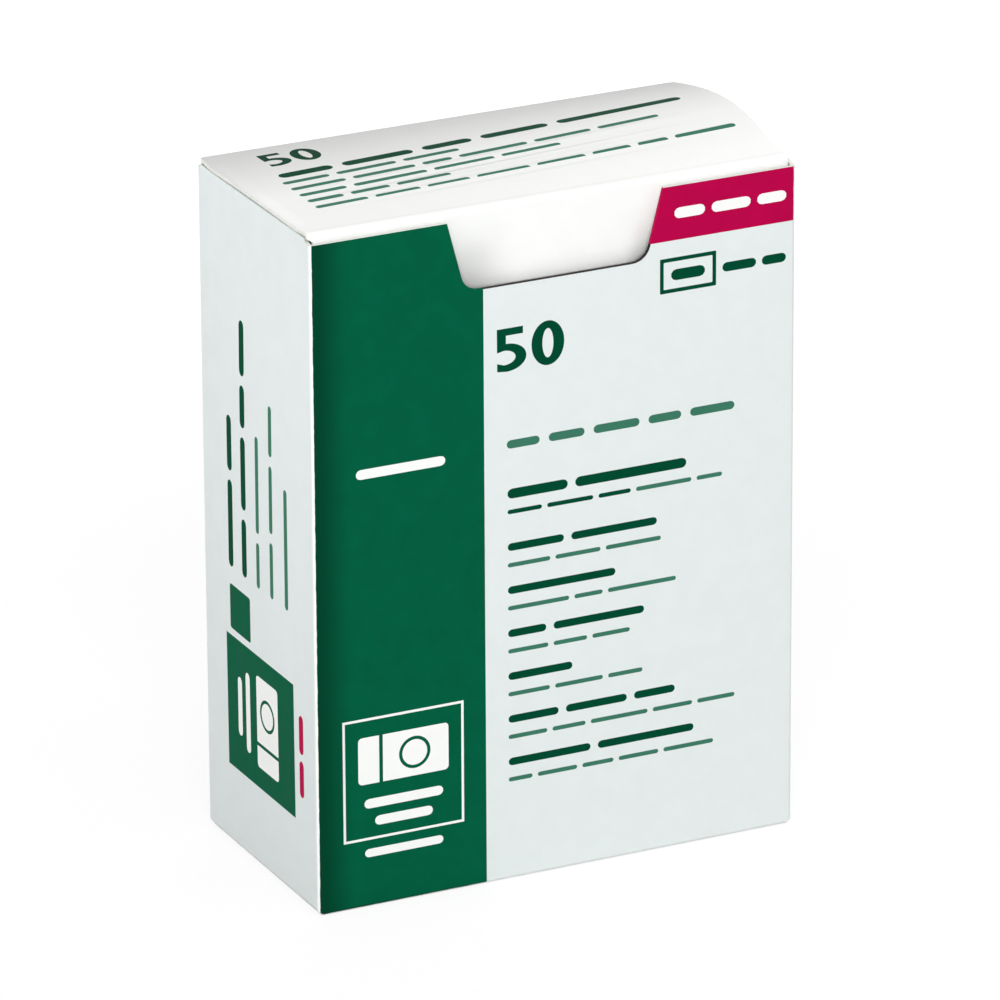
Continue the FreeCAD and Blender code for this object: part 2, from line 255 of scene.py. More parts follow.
# Cellophane overwrap: a thin bright film with a faint straw cast and drawn streaks.
CELLOPHANE = clear_material("cellophane_film", "#FBFAF3", 1.47, 0.02, 3.0, 4.0)


# ------------------------ outlines of the print, flat
LEAST_BAR = 0.8  # no word of small print is shorter


def box_shape(left, right, low, high):
    """A rectangle."""
    return [(left, low), (right, low), (right, high), (left, high)]


def oval(centre, across, tall, start=0.0, end=360.0, steps=32):
    """Points round an oval, from start to end degrees."""
    count = steps if abs(end - start) >= 360 else steps + 1
    turn = [math.radians(start + (end - start) * step / steps) for step in range(count)]
    return [(centre[0] + across * math.cos(angle), centre[1] + tall * math.sin(angle)) for angle in turn]


def bar(left, right, middle, thick):
    """A bar with round ends, as one word of small print."""
    half = thick / 2
    return (oval((right - half, middle), half, half, -90, 90, 5)
            + oval((left + half, middle), half, half, 90, 270, 5))


def rounded(left, right, low, high, radius):
    """A rectangle with round corners."""
    shape = []
    for x, y, start in ((right - radius, low + radius, -90), (right - radius, high - radius, 0),
                        (left + radius, high - radius, 90), (left + radius, low + radius, 180)):
        shape += oval((x, y), radius, radius, start, start + 90, 4)
    return shape


def words(ink, left, right, middle, thick, seed, gap, shortest, longest):
    """A line of print as word-long bars of this ink."""
    dice = random.Random(seed)
    bars, start = [], left
    while right - start > LEAST_BAR:
        end = start + dice.uniform(shortest, longest)
        if right - end < shortest + gap:
            end = right
        bars.append((ink, bar(start, end, middle, thick)))
        start = end + gap
    return bars


def moved(prints, rule):
    """Prints with each point where the rule puts it."""
    return [(ink, [rule(x, y) for x, y in shape]) for ink, shape in prints]


def fifty(ink, ground, left, base, cap, spread=1.0):
    """The number 50 in bold figures, drawn on a grid five units tall, with the ground inside the nought."""
    unit = cap / 5.0
    five = ([(0, 5.0), (0, 2.25)]
            + oval((0.85, 1.57), 1.42, 0.85, 90, -90, 14)
            + [(0, 1.0), (0, 0.05)]
            + oval((1.15, 1.56), 2.45, 1.64, -90, 90, 18)
            + [(1.1, 3.15), (1.1, 4.15), (3.2, 4.15), (3.2, 5.0)])
    figures = (ink, five), (ink, oval((6.25, 2.5), 2.02, 2.62)), (ground, oval((6.25, 2.5), 0.68, 1.72))
    return moved(figures, lambda x, y: (left + x * unit * spread, base + y * unit))


def turned(prints):
    """Prints turned a quarter, so that their lines read upwards."""
    return moved(prints, lambda x, y: (y, x))


def flipped(prints):
    """Prints seen from the other side."""
    return moved(prints, lambda x, y: (-x, y))


def slide_sign(left, low, width, ink, ground):
    """A plain sign, drawn on a grid fifteen units wide: a slide with its round cover glass, over two bars."""
    unit = width / 15.0
    sign = ((ink, rounded(1.9, 13.1, 6.9, 12.6, 0.5)), (ground, box_shape(4.5, 4.95, 6.9, 12.6)),
            (ground, oval((8.9, 9.75), 1.95, 1.95)), (ink, oval((8.9, 9.75), 1.55, 1.55)),
            (ink, bar(2.6, 12.4, 4.5, 1.15)), (ink, bar(3.9, 11.1, 2.3, 1.15)))
    return moved(sign, lambda x, y: (left + x * unit, low + y * unit))


# ------------------------ flat blanks, then folded
def anticlockwise(shape):
    """The shape, turned if need be so that it runs anticlockwise."""
    area = sum(a[0] * b[1] - b[0] * a[1] for a, b in zip(shape, shape[1:] + shape[:1]))
    return list(shape) if area > 0 else list(reversed(shape))


def cut_blank(outline, prints, scores, pitch, ground):
    """A flat blank as points, triangles and an ink for each triangle.

    Prints are laid over each other in order, edges follow the score lines, and a grid of points
    at this pitch lets the blank bend smoothly.
    """
    points, faces, inks, edges = [], [], [], []
    for ink, shape in [(ground, outline)] + prints:
        shape = anticlockwise(shape)
        faces.append(list(range(len(points), len(points) + len(shape))))
        points += shape
        inks.append(ink)
    for start, end in scores:
        edges.append((len(points), len(points) + 1))
        points += [start, end]
    lows, highs = np.min(outline, axis=0), np.max(outline, axis=0)
    steps = np.ceil((highs - lows) / pitch).astype(int)
    for column in range(1, steps[0]):
        for row in range(1, steps[1]):
            # every other column is half a step higher, which gives even triangles
            share = (column / steps[0], (row + 0.5 * (column % 2) - 0.25) / steps[1])
            points.append(tuple(lows + (highs - lows) * share))
    corners, _, triangles, _, _, owners = delaunay_2d_cdt(
        [Vector(point) for point in points], edges, faces, 1, 1e-5, True)
    kept = [(triangle, inks[max(owner)]) for triangle, owner in zip(triangles, owners) if 0 in owner]
    used = sorted({corner for triangle, _ in kept for corner in triangle})
    number = {corner: place for place, corner in enumerate(used)}
    return ([tuple(corners[corner]) for corner in used],
            [[number[corner] for corner in triangle] for triangle, _ in kept],
            [ink for _, ink in kept])


def turned_over(blank):
    """A blank drawn with its height towards the front, with its triangles turned to face out again."""
    points, triangles, inks = blank
    return points, [triangle[::-1] for triangle in triangles], inks


def steps_of(start, length, count):
    """The places at whole steps along a length, both ends among them."""
    return [start + length * step / count for step in range(count + 1)]


def level(left, right, heights):
    """Score lines across a blank."""
    return [((left, height), (right, height)) for height in heights]


def upright(places, low, high):
    """Score lines up a blank."""
    return [((place, low), (place, high)) for place in places]


def fold_up(name, blank, place, wear, tone, rigid=True, edge_ink=lambda u, v: EDGE):
    """The blank as folded board: printed face, inner face one board in, and cut edges between.

    A rigid piece is shaded from the fold's own surface, so that the print's outlines leave no facets.
    """
    points, triangles, inks = blank
    count = len(points)
    spots = [place(u, v, 0.0) for u, v in points] + [place(u, v, BOARD) for u, v in points]
    faces = [list(triangle) for triangle in triangles]
    faces += [[corner + count for corner in reversed(triangle)] for triangle in triangles]
    sides = {(a, b) for triangle in triangles for a, b in zip(triangle, triangle[1:] + triangle[:1])}
    rims = [(a, b) for a, b in sorted(sides) if (b, a) not in sides]
    faces += [[b, a, a + count, b + count] for a, b in rims]
    made = plain_mesh(name, [Vector(spot) * MM for spot in spots], faces)
    rim_inks = [edge_ink(*((Vector(points[a]) + Vector(points[b])) / 2)) for a, b in rims]
    for polygon, ink in zip(made.data.polygons, list(inks) + [INNER] * len(triangles) + rim_inks):
        polygon.material_index = ink
    for material in CARD:
        made.data.materials.append(material)
    # fold_wear is real wear at the folds; the other attribute is painted shade
    for attribute, rule in (("fold_wear", wear), ("painted_shade", tone)):
        layer = made.data.attributes.new(attribute, "FLOAT", "POINT")
        layer.data.foreach_set("value", [rule(u, v) for u, v in points] + [0.0] * count)
    smooth(made, 40)
    if rigid:
        facing = [face_normal(place, u, v) for u, v in points]
        facing += [-normal for normal in facing]
        panels = made.data.polygons[:2 * len(triangles)]
        edges = made.data.polygons[2 * len(triangles):]
        split = [facing[corner] for panel in panels for corner in panel.vertices]
        split += [edge.normal.copy() for edge in edges for _ in range(4)]
        made.data.normals_split_custom_set(split)
    return made


def face_normal(place, u, v, step=0.02):
    """The outward direction of a folded sheet's printed face."""
    along = Vector(place(u + step, v, 0.0)) - Vector(place(u - step, v, 0.0))
    up = Vector(place(u, v + step, 0.0)) - Vector(place(u, v - step, 0.0))
    normal = along.cross(up).normalized()
    inward = Vector(place(u, v, BOARD)) - Vector(place(u, v, 0.0))
    return -normal if normal.dot(inward) > 0 else normal


def stood(name, data):
    """An object for this data, at the origin of the scene."""
    made = bpy.data.objects.new(name, data)
    bpy.context.scene.collection.objects.link(made)
    return made


def plain_mesh(name, points, faces):
    """A mesh object at the origin."""
    data = bpy.data.meshes.new(name)
    data.from_pydata([tuple(point) for point in points], [], faces)
    data.validate()
    return stood(name, data)


def smooth(made, degrees):
    """Smooth shading, with edges sharper than this left crisp."""
    made.data.shade_smooth()
    made.data.set_sharp_from_angle(angle=math.radians(degrees))


# ------------------------ the sleeve of four walls
# The blank runs, seen from outside, from the glue flap over the back, left, front and right walls.
# The back wall stops one board short on the right, where its glue flap passes inside the right wall.
SEAM_FACE = HALF_WIDTH - BOARD
WALLS = ["glue", "back", "left", "front", "right"]
SLEEVE_CORNERS = [Vector(corner) for corner in (
    (SEAM_FACE, BACK_FACE - SEAM_WIDTH), (SEAM_FACE, BACK_FACE), (-HALF_WIDTH, BACK_FACE),
    (-HALF_WIDTH, FRONT_FACE), (HALF_WIDTH, FRONT_FACE), (HALF_WIDTH, BACK_FACE - SEAM_GAP))]
RUNS = {}  # wall: (start along the blank, length, plan start, plan direction)
FOLDS = []  # (start along the blank, plan centre, direction before it)
FOLD_ARC = QUARTER * FOLD


def outward(direction):
    """The outward side of a wall that runs in this direction, seen from above."""
    return Vector((direction.y, -direction.x))


def lay_out_sleeve():
    """Works out where each wall and fold lies along the blank."""
    along = 0.0
    for name, start, end in zip(WALLS, SLEEVE_CORNERS, SLEEVE_CORNERS[1:]):
        way = (end - start).normalized()
        if name != WALLS[0]:
            start = start + way * FOLD
        if name != WALLS[-1]:
            end = end - way * FOLD
        RUNS[name] = (along, (end - start).length, start, way)
        along += (end - start).length
        if name != WALLS[-1]:
            FOLDS.append((along, end - outward(way) * FOLD, way))
            along += FOLD_ARC


lay_out_sleeve()
SLEEVE_END = RUNS["right"][0] + RUNS["right"][1]
BEND_WEAR = 0.85  # how worn the bend into the floor is, at its middle
BEND_STEPS = 6  # flat facets round a pressed fold
BELOW_ALL = -30.0  # under the longest floor flap,
ABOVE_WALLS = 90.0  # over the walls,
ABOVE_ALL = 110.0  # and over the dust flaps as well, on the flat blank
FOLD_SHADE_WIDTH = 4.4  # painted shade: the front's green darkens over this much beside its left fold
FOLD_SHADE_STEPS = 7
GREEN_END = -8.92  # right edge of the front's field of green
CRIMSON_START = 9.0  # left edge of the crimson tab, at the thumb notch
CRIMSON_LOW = 73.07
BLEED = 1.1  # the walls' print runs on over the dust flaps' fold by this much
# height of each floor flap's underside, and where its wall starts above the bend
FLOOR = {"front": 0.0, "back": BOARD, "left": BOARD, "right": BOARD}
WALL_BOTTOM = {name: low + FOLD for name, low in FLOOR.items()}
WALL_BOTTOM["glue"] = 1.6
# each floor flap's inset at its ends, its length from the wall's face, and how much its ends run in
FLAPS = {"front": (0.06, 2 * BACK_FACE - 0.35, 0.0), "back": (3.2 - FOLD, 24.4, 1.5),
         "left": (RELIEF, 20.0, 1.5), "right": (RELIEF, 20.0, 1.5)}
# how far the middle of each wall bows out, and the ripple in it
BOW = {"front": 0.10, "back": 0.12, "left": 0.22, "right": 0.22, "glue": 0.0}
RIPPLE = 0.05
RIPPLE_SIZE = 14.0
# the side floor flaps step up over the ply below them, from this far in and over this much
STEP_START = FOLD + 0.4
STEP_LENGTH = 2.0


def wall_at(u):
    """Which wall or fold a place along the blank is in: (wall, distance along it) or (None, fold)."""
    slack = 1e-4
    for name, (start, length, _, _) in RUNS.items():
        if start - slack <= u <= start + length + slack:
            return name, u - start
    for fold in FOLDS:
        if fold[0] <= u <= fold[0] + FOLD_ARC:
            return None, fold
    raise ValueError(f"no wall at {u}")


def bent(past, radius, turn):
    """A sheet past the start of a quarter bend.

    It gives how far in and how far along the wall's height the sheet is, and its normal's out and up.
    """
    angle = min(past / radius, QUARTER)
    flat = max(past - QUARTER * radius, 0.0)
    return (radius * (1 - math.cos(angle)) + flat, turn * radius * math.sin(angle),
            math.cos(angle), turn * math.sin(angle))


def ease(value):
    """A smooth step from 0 to 1."""
    value = min(max(value, 0.0), 1.0)
    return value * value * (3 - 2 * value)


def sleeve_place(u, v, depth):
    """Where a point of the sleeve's blank lies once folded; depth is how far inside the printed face."""
    u = min(max(u, 0.0), SLEEVE_END)
    name, along = wall_at(u)
    if name is None:
        start, centre, way = along
        angle = (u - start) / FOLD
        side = outward(way)
        side = Vector((side.x * math.cos(angle) - side.y * math.sin(angle),
                       side.x * math.sin(angle) + side.y * math.cos(angle)))
        spot = centre + side * (FOLD - depth)
        return spot.x, spot.y, v
    _, length, start, way = RUNS[name]
    side = outward(way)
    low, high = WALL_BOTTOM[name], WALL_TOP - DUST_FOLD
    inward, height, out, up = 0.0, v, 1.0, 0.0
    if v < low and name != "glue":
        inward, drop, out, up = bent(low - v, FOLD, -1)
        height = low + drop
        if name in ("left", "right"):
            height += BOARD * ease((inward - STEP_START) / STEP_LENGTH)
    elif v > high and name in ("left", "right"):
        inward, rise, out, up = bent(v - high, DUST_FOLD, 1)
        height = high + rise
    else:
        share, tall = along / length, (v - low) / (high - low)
        swell = math.sin(math.pi * share) * math.sin(math.pi * min(max(tall, 0.0), 1.0))
        inward = -BOW[name] * swell
        if name != "glue":
            inward -= RIPPLE * swell * noise.noise(Vector((u, v, 0.0)) / RIPPLE_SIZE)
    spot = start + way * along - side * (inward + depth * out)
    return spot.x, spot.y, height - depth * up


def fold_lines():
    """Score lines along the blank's upright folds, the flaps' bends and the painted shade beside the front's
    left fold.
    """
    lines = []
    for start, _, _ in FOLDS:
        lines += upright(steps_of(start, FOLD_ARC, BEND_STEPS), BELOW_ALL, ABOVE_WALLS)
    for name in ("front", "back", "left", "right"):
        start, length = RUNS[name][:2]
        heights = steps_of(WALL_BOTTOM[name], -FOLD_ARC, BEND_STEPS)
        if name in ("left", "right"):
            dust_bend = steps_of(WALL_TOP - DUST_FOLD, QUARTER * DUST_FOLD, BEND_STEPS)
            heights = [height for pair in zip(heights, dust_bend) for height in pair]
        lines += level(start, start + length, heights)
    # score lines where the painted shade beside the front's left fold changes
    shade_steps = steps_of(RUNS["front"][0], FOLD_SHADE_WIDTH, FOLD_SHADE_STEPS)[1:]
    return lines + upright(shade_steps, WALL_BOTTOM["front"], FRONT_TOP)


def blank_u(name, across):
    """Where a plan place (x for the front and back, y for the sides) is along the blank."""
    start, _, origin, way = RUNS[name]
    if name in ("front", "back"):
        return start + (across - origin.x) * way.x
    return start + (across - origin.y) * way.y


def notch_outline(grow=0.0):
    """The thumb notch in the front panel's top edge, from right to left, or a line that much outside it."""
    bottom = FRONT_TOP - NOTCH_DEPTH
    lean = math.degrees(math.atan2(NOTCH_DEPTH, NOTCH_TOP - NOTCH_BOTTOM))
    reach = NOTCH_CORNER * math.tan(math.radians(lean) / 2)
    middle, radius = (NOTCH_BOTTOM - reach, bottom + NOTCH_CORNER), NOTCH_CORNER + grow
    right = oval(middle, radius, radius, lean - 90, -90, 8)
    left = [(-x, z) for x, z in reversed(right)]
    return [(NOTCH_TOP + grow, FRONT_TOP)] + right + left + [(-NOTCH_TOP - grow, FRONT_TOP)]


def floor_flap_outline(name):
    """A floor flap's outline on the blank, from left to right."""
    start, width = RUNS[name][:2]
    inset, length, taper = FLAPS[name]
    low = WALL_BOTTOM[name]
    root, bend, tip = low - ROOT_STEP, low - FOLD_ARC - STRAIGHT, low - FOLD_ARC - (length - FOLD)
    shoulder = FLOOR[name] + FRONT_SHOULDER if name == "front" else low - SHOULDER_STEP
    left = [(0.0, shoulder), (inset, root), (inset, bend), (inset + taper, tip)]
    return ([(start + x, height) for x, height in left]
            + [(start + width - x, height) for x, height in reversed(left)])


def dust_outline(name):
    """A dust flap's outline on the blank, from right to left."""
    edge = WALL_TOP - DUST_FOLD
    root, straight, tip = edge + NICK, edge + STRAIGHT, edge + QUARTER * DUST_FOLD + DUST_LENGTH - DUST_FOLD
    ends = blank_u(name, FRONT_FACE + DUST_FRONT_GAP), blank_u(name, BACK_FACE - DUST_BACK_GAP)
    left, right = min(ends), max(ends)
    return [(right, root), (right - RELIEF, straight), (right - DUST_TAPER, tip),
            (left + DUST_TAPER, tip), (left + RELIEF, straight), (left, root)]


def sleeve_outline():
    """The sleeve's cut outline, anticlockwise from the bottom of the glue flap."""
    shape = [(0.0, WALL_BOTTOM["glue"] + SEAM_SLANT), (RUNS["glue"][1], WALL_BOTTOM["glue"])]
    for name in WALLS[1:]:
        shape += floor_flap_outline(name)
    edge = WALL_TOP - DUST_FOLD
    shape += [(SLEEVE_END, edge)] + dust_outline("right")
    front, front_end = RUNS["front"][0], RUNS["front"][0] + RUNS["front"][1]
    shape += [(front_end + FOLD_ARC, FRONT_TOP), (front_end, FRONT_TOP)]
    shape += [(blank_u("front", x), z) for x, z in notch_outline()]
    shape += [(front, FRONT_TOP), (front - FOLD_ARC, FRONT_TOP)] + dust_outline("left")
    back, back_end = RUNS["back"][0], RUNS["back"][0] + RUNS["back"][1]
    shape += [(back_end + FOLD_ARC, edge), (back_end + HAIR, edge), (back_end, BOX_TOP - FOLD),
              (back, BOX_TOP - FOLD), (back - HAIR, edge), (back - FOLD_ARC, edge)]
    return shape + [(RUNS["glue"][1], WALL_TOP - SEAM_TOP), (0.0, WALL_TOP - (SEAM_TOP + SEAM_SLANT))]


def sleeve_edge(u, v):
    """The colour of the cut edge: a painted shadow, dark, along the thumb notch's bottom, and the print's own
    ink up its sides.
    """
    name, along = wall_at(u)
    if name != "front" or v > FRONT_TOP - NICK or v < FRONT_TOP - NOTCH_DEPTH - NICK:
        return EDGE
    across = RUNS[name][2].x + along
    if across < GREEN_END:
        return GREEN
    return NOTCH_SHADOW if v < CRIMSON_LOW else CRIMSON


def sleeve_painted_shade(u, v):
    """Painted shade: the front's field of green darkens towards its left fold."""
    start = RUNS["front"][0]
    return ease(1 - (u - start) / FOLD_SHADE_WIDTH) if u > start - FOLD_ARC / 2 else 0.0


def sleeve_wear(u, v):
    """How near a point is to a crease's middle, 0 to 1."""
    worn = 0.0
    for start, _, _ in FOLDS[1:]:
        worn = max(worn, 1 - abs(u - start - FOLD_ARC / 2) / (FOLD_ARC / 2))
    name, _ = wall_at(u)
    if name in ("front", "back", "left", "right"):
        worn = max(worn, BEND_WEAR - abs(v - WALL_BOTTOM[name] + FOLD_ARC / 2) / (FOLD_ARC / 2))
    return max(worn, 0.0)


# ------------------------ the print, panel by panel
# Every line of words is given by its ink, left, right, middle and thickness, the seed for its word
# lengths, the gap between words, and its shortest and longest word.
FOLD_MIDDLE = HALF_WIDTH - FOLD + FOLD_ARC / 2  # a field that wraps a fold ends halfway round it
PRINT_LOW, PRINT_HIGH = -4.0, 85.0  # the front's green runs on past both its edges
NOTCH_LINE = 0.09  # width of the painted shadow line along the thumb notch, on the face
TEXT_LEFT = -6.14
TEXT_TOP, TEXT_NEXT = 45.7, 39.35  # places of the first heading and the second,
TEXT_STEP = 5.17  # and from each of the others to the next
HEADING_RISE, LINE_DROP = 0.85, 1.30  # from a heading's place to it and to the line under it
TEXT_LENGTHS = ((22.3, 26.8), (18.6, 19.1), (13.4, 21.0), (17.0, 15.2), (8.0, 16.8), (20.9, 28.5),
                (23.3, 25.8))


def on_panel(name, prints):
    """Prints given in a panel's own plan place and height, moved onto the sleeve's blank."""
    return moved(prints, lambda across, height: (blank_u(name, across), height))


def text_block(seed):
    """Seven headings, each over a lighter line."""
    prints = []
    for row, (heading, line) in enumerate(TEXT_LENGTHS):
        place, tall = (TEXT_NEXT - TEXT_STEP * (row - 1), 0.92) if row else (TEXT_TOP, 1.18)
        prints += words(DEEP_GREEN, TEXT_LEFT, TEXT_LEFT + heading, place + HEADING_RISE, tall,
                        seed + row, 0.9, 4.5, 11.0)
        lighter = words(SOFT_GREEN, TEXT_LEFT, TEXT_LEFT + line, place - LINE_DROP, 0.52,
                        seed + 20 + row, 0.65, 2.6, 8.0)
        if row == 0:
            lighter[:3] = [(DEEP_GREEN, shape) for _, shape in lighter[:3]]
        prints += lighter
    return prints


def shared_print(line_seed, block_seed):
    """What the front and the back both have: the number, the lines of print and one on the green."""
    return (fifty(DEEP_GREEN, PALE, -7.3, 61.1, 5.0)
            + words(SOFT_GREEN, -6.2, 22.2, 52.4, 1.0, line_seed, 1.1, 2.5, 6.0)
            + text_block(block_seed) + [(WHITE, bar(-24.6, -13.7, 51.9, 1.15))])


def front_print():
    """The front panel: green field, crimson tab, number, frame and lines of print."""
    # the first outline is the painted shadow line round the thumb notch; the inks after it cover all but its
    # pale part
    prints = [(NOTCH_SHADOW, notch_outline(NOTCH_LINE)),
              (GREEN, box_shape(-FOLD_MIDDLE, GREEN_END, PRINT_LOW, PRINT_HIGH)),
              (CRIMSON, box_shape(CRIMSON_START, FOLD_MIDDLE, CRIMSON_LOW, FRONT_TOP + 1)),
              (DEEP_GREEN, rounded(12.83, 19.83, 66.95, 71.05, 0.12)),
              (PALE, rounded(13.29, 19.37, 67.41, 70.59, 0.1)),
              (DEEP_GREEN, bar(14.2, 18.45, 69.0, 1.3))]
    prints += words(WHITE, 14.6, 28.6, 76.2, 1.25, 3, 0.8, 3.0, 6.5)
    prints += words(DEEP_GREEN, 20.6, 28.6, 68.9, 1.1, 5, 0.7, 3.0, 5.0)
    prints += shared_print(11, 40)
    prints += [(WHITE, box_shape(-26.6, -11.7, 8.2, 22.9)), (GREEN, box_shape(-26.3, -12.0, 8.5, 22.6))]
    prints += slide_sign(-26.6, 8.1, 14.9, WHITE, GREEN)
    prints += [(WHITE, bar(-24.0, -14.3, 6.6, 1.0))]
    return on_panel("front", prints)


def left_print():
    """The left panel: five upright lines, a small block, and the sign on green."""
    # each line's place across the panel, length, thickness and ink
    lines = ((7.1, 18.2, 1.3, DEEP_GREEN), (3.35, 30.6, 1.3, DEEP_GREEN), (-0.4, 18.1, 0.85, SOFT_GREEN),
             (-4.0, 22.9, 0.85, SOFT_GREEN), (-7.8, 14.3, 0.85, SOFT_GREEN))
    prints, start = [], 34.4
    for row, (place, length, thick, ink) in enumerate(lines):
        prints += turned(words(ink, start, start + length, place, thick, 70 + row, 1.1, 5.0, 11.0))
    prints += [(GREEN, rounded(2.0, 7.6, 26.9, 32.3, 0.35)), (GREEN, box_shape(-9.2, 8.8, 9.9, 26.0))]
    prints += flipped(turned(slide_sign(10.6, -7.6, 14.9, WHITE, GREEN)))
    prints += turned(words(CRIMSON, 13.0, 22.9, -11.0, 1.1, 90, 0.8, 4.0, 6.0))
    return on_panel("left", prints)


def right_print():
    """The right panel: a white framed field with three rules, four lines of print and the crimson's end."""
    prints = [(GREEN, rounded(-9.4, 9.4, 44.6, 66.4, 0.5)), (WHITE, rounded(-9.1, 9.1, 44.9, 66.1, 0.4))]
    for row in range(3):
        drop = 5.6 * row
        prints += [(SOFT_GREEN, bar(-7.6, -1.4, 62.6 - drop, 0.85)),
                   (SOFT_GREEN, box_shape(-7.6, 7.6, 59.85 - drop, 60.0 - drop))]
    for row, length in enumerate((16.5, 14.2, 15.6, 9.0)):
        prints += words(SOFT_GREEN, -9.2, -9.2 + length, 38.0 - 2.9 * row, 0.8, 110 + row, 0.8, 3.0, 6.0)
    fold_middle = FRONT_FACE + FOLD - FOLD_ARC / 2
    prints += [(CRIMSON, box_shape(fold_middle, 20.0, CRIMSON_LOW, WALL_TOP - 0.15))]
    return on_panel("right", prints)


def back_print():
    """The back panel: the front's green field, number and lines again, seen from behind."""
    prints = [(GREEN, box_shape(-FOLD_MIDDLE, GREEN_END, PRINT_LOW, ABOVE_WALLS))]
    return on_panel("back", flipped(prints + shared_print(131, 140)))


def sleeve_prints():
    """Every print on the sleeve's blank, the bare flaps first."""
    # the glue flap is bare, and so is the first part of the fold beside it
    prints = [(WHITE, box_shape(-1, RUNS["glue"][1] + 0.4 * FOLD_ARC, -1, ABOVE_WALLS))]
    for name in ("left", "right"):
        start, length = RUNS[name][:2]
        prints.append((WHITE, box_shape(start, start + length, WALL_TOP + BLEED, ABOVE_ALL)))
    return prints + back_print() + left_print() + front_print() + right_print()


def make_sleeve():
    """The carton's walls, floor flaps and dust flaps, folded from one board."""
    blank = cut_blank(sleeve_outline(), sleeve_prints(), fold_lines(), SLEEVE_PITCH, PALE)
    return fold_up("carton_board", blank, sleeve_place, sleeve_wear, sleeve_painted_shade, edge_ink=sleeve_edge)


# ------------------------ the lid and its tuck flap
BACK_CREASE, FRONT_CREASE = BACK_FACE - FOLD, BACK_FACE - TUCK_RADIUS + NOSE
LID_CHORD = BACK_CREASE - FRONT_CREASE
LID_SIDE = LID_HIGH.x
LID_LEFT = -LID_SIDE - LID_SHIFT
NOSE_ARC = QUARTER * NOSE
TUCK_START = math.asin(NOSE / TUCK_RADIUS)
TUCK_END = math.asin((BOX_TOP - LID_LOW.z) / TUCK_RADIUS)
TUCK_ARC = TUCK_RADIUS * (TUCK_END - TUCK_START)
NOSE_SETBACK = 0.0085  # the tuck flap's curve has come back by this much where the nose ends
RISE_BEND = 0.25  # the share of the lid's rise that comes late, towards the right
CURL_END = 3.0  # the left edge's curl eases out over this much at its ends
SWELL_EDGE = NOTCH_TOP + 0.15  # where the flap starts to swell out at the notch's right,
SWELL_WIDTH = 5.2  # and over how much
SWELL_SHORT = 0.01  # the swell stops this much short of the nose's front
CORNER_CUT = 3.0  # the lid's back left corner is cut off aslant
TAPER_END = 2.4  # the right edge's taper ends this far behind the nose
SHOULDER = LID_CHORD + NOSE_ARC + RELIEF  # where the tuck flap starts
# the soft painted shade on the flap's dented lower left: its strength, its ends and how far each side eases
SHADE, SHADE_LEFT, SHADE_RIGHT = 0.4, -17.0, -4.4
LEFT_EASE, RIGHT_EASE, TOP_EASE = 4.6, 5.6, 4.2
SHADE_TOP = 1.4  # it starts this far under the flap's shoulder
# the lid panel carries painted shade from the back to this share of its depth, and a line of it along the
# front crease
PANEL_SHADE, PANEL_SHARE, LINE_SHADE = 0.9, 0.62, 0.2
NOSE_WEAR = 0.75
CREASE_WEAR, CREASE_FADE = 0.9, 0.7  # wear at the back crease's middle, and how fast it falls off
LEFT_SHOULDER = 0.25  # the lid's left edge ends this much above the flap's shoulder


def lid_face(x, w):
    """The lid's printed face: x across, w from the back crease over the panel and down the tuck flap."""
    share = min(max((x - LID_LEFT) / (LID_SIDE - LID_LEFT), 0.0), 1.0)
    late = (1 - RISE_BEND) * share + RISE_BEND * share ** 2
    rise = LID_LEFT_RISE + (LID_RIGHT_RISE - LID_LEFT_RISE) * late
    lean = LID_LEAN * share
    if w <= LID_CHORD:
        part = w / LID_CHORD
        part -= lean * part * (1 - part)
        curl = LID_CURL * ease(1 - (x - LID_LEFT) / CURL_WIDTH) * ease(min(w, LID_CHORD - w) / CURL_END)
        return Vector((x, BACK_CREASE - w, BOX_TOP - curl + 4 * rise * part * (1 - part)))
    w -= LID_CHORD
    if w <= NOSE_ARC:
        part = w / NOSE_ARC
        slope = 4 * rise * (1 + lean) / LID_CHORD
        ahead = 2 * part * (1 - part) + part ** 2
        drop = 2 * part * (1 - part) * slope + part ** 2
        return Vector((x, FRONT_CREASE - (NOSE - NOSE_SETBACK) * ahead, BOX_TOP - NOSE * drop))
    drop = TUCK_RADIUS * math.sin(TUCK_START + (w - NOSE_ARC) / TUCK_RADIUS)
    behind = math.sqrt(TUCK_RADIUS ** 2 - drop ** 2)
    in_notch = softly_least(TUCK_RADIUS - SWELL_SHORT, math.sqrt(NOTCH_RADIUS ** 2 - drop ** 2))
    swell = ease((SWELL_EDGE - x) / SWELL_WIDTH) * ease((x + DENT_START) / DENT_WIDTH)
    return Vector((x, BACK_FACE - behind - (in_notch - behind) * swell, BOX_TOP - drop))


def softly_least(one, other, keen=5.0):
    """The lesser of two lengths, with a soft bend where they cross."""
    return -math.log(math.exp(-keen * one) + math.exp(-keen * other)) / keen


def lid_place(x, w, depth):
    """Where a point of the lid's blank lies; depth is how far under the printed face."""
    here = lid_face(x, w)
    if depth:
        step = 0.12
        along = lid_face(x, w + step) - lid_face(x, w - step)
        across = lid_face(x + step, w) - lid_face(x - step, w)
        here = here + along.cross(across).normalized() * -depth
    return here


def lid_prints():
    """The number and the lines of print on the lid panel."""
    prints = fifty(DEEP_GREEN, WHITE, -24.0, 7.4, 4.4, 0.92)
    prints += words(DEEP_GREEN, -24.8, 24.9, 3.9, 1.5, 201, 1.2, 6.0, 14.0)
    # each lighter line's place and its right end
    for row, (place, end) in enumerate(((1.5, -3.9), (-0.7, 19.8), (-2.9, 6.5), (-5.0, -8.0), (-7.1, 26.2))):
        prints += words(SOFT_GREEN, -25.4, end, place, 0.85, 210 + row, 0.9, 3.5, 9.0)
    return moved(prints, lambda x, y: (x, BACK_CREASE - y))


